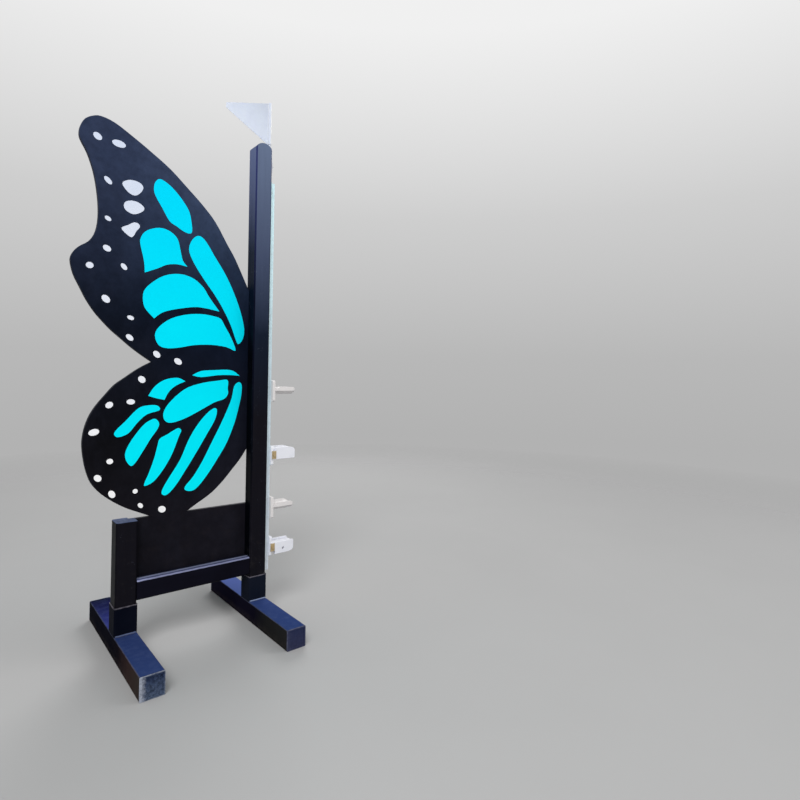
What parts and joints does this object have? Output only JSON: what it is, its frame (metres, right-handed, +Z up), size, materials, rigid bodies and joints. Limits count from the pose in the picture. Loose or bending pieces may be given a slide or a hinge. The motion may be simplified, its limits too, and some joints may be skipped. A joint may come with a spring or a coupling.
{
  "type": "show jump wing",
  "caption": "Show jump wing with a butterfly panel between timber posts on steel tube feet, a keyhole track carrying lift-off pole cups, and a turning corner flag.",
  "frame": {"origin": "on the floor under the middle of the main post", "axes": "+X along the poles towards the jump, +Y to the back of the wing, +Z up"},
  "size_m": [0.7758, 0.665, 1.9813],
  "materials": {
    "black_timber": "gloss black paint",
    "black_sheet": "gloss black paint on plywood",
    "blue_film": "gloss film",
    "white_film": "gloss film",
    "steel": "bright zinc",
    "black_steel": "satin black powder coat",
    "black_plastic": "moulded",
    "galvanised": "galvanised sheet",
    "white_nylon": "moulded nylon",
    "yellow_zinc": "yellow passivated zinc",
    "white_plastic": "satin"
  },
  "bodies": {
    "frame": {"main_post": "black_timber", "outer_post": "black_timber", "bottom_rail": "black_timber", "wing_panel": "black_sheet", "blue_cells_front": "blue_film", "blue_cells_back": "blue_film", "white_spots_front": "white_film", "white_spots_back": "white_film", "panel_screws": "steel", "inner_foot_tube": "black_steel", "outer_foot_tube": "black_steel", "inner_socket": "black_steel", "outer_socket": "black_steel", "inner_foot_plugs": "black_plastic", "outer_foot_plugs": "black_plastic", "socket_screws": "steel", "cup_track": "galvanised", "track_screws": "steel", "flag_holder": "white_nylon", "holder_screws": "steel"},
    "top_cup_body": {"top_cup": "white_nylon", "top_cup_studs": "steel"},
    "mid_cup_body": {"mid_cup_plate": "white_nylon", "mid_cup_block": "white_nylon", "mid_cup_bolt": "yellow_zinc", "mid_cup_fittings": "yellow_zinc", "mid_cup_studs": "steel"},
    "low_cup_body": {"low_cup": "white_nylon", "low_cup_studs": "steel"},
    "base_cup_body": {"base_cup_plate": "white_nylon", "base_cup_block": "white_nylon", "base_cup_bolt": "yellow_zinc", "base_cup_fittings": "yellow_zinc", "base_cup_studs": "steel"},
    "rod_body": {"flag_rod": "white_plastic"},
    "flag_body": {"flag_blade": "white_plastic"}
  },
  "joints": [
    {"name": "top_cup_lift", "type": "slide", "parent": "frame", "child": "top_cup_body", "axis": [0, 0, 1], "range_m": [0, 0.018]},
    {"name": "mid_cup_lift", "type": "slide", "parent": "frame", "child": "mid_cup_body", "axis": [0, 0, 1], "range_m": [0, 0.018]},
    {"name": "low_cup_lift", "type": "slide", "parent": "frame", "child": "low_cup_body", "axis": [0, 0, 1], "range_m": [0, 0.018]},
    {"name": "base_cup_lift", "type": "slide", "parent": "frame", "child": "base_cup_body", "axis": [0, 0, 1], "range_m": [0, 0.018]},
    {"name": "flag_lift", "type": "slide", "parent": "frame", "child": "rod_body", "axis": [0, 0, 1], "range_m": [0, 0.03]},
    {"name": "flag_turn", "type": "hinge", "parent": "rod_body", "child": "flag_body", "pos_m": [0.0407, 0.012, 1.9], "axis": [0, 0, 1], "continuous": true}
  ]
}
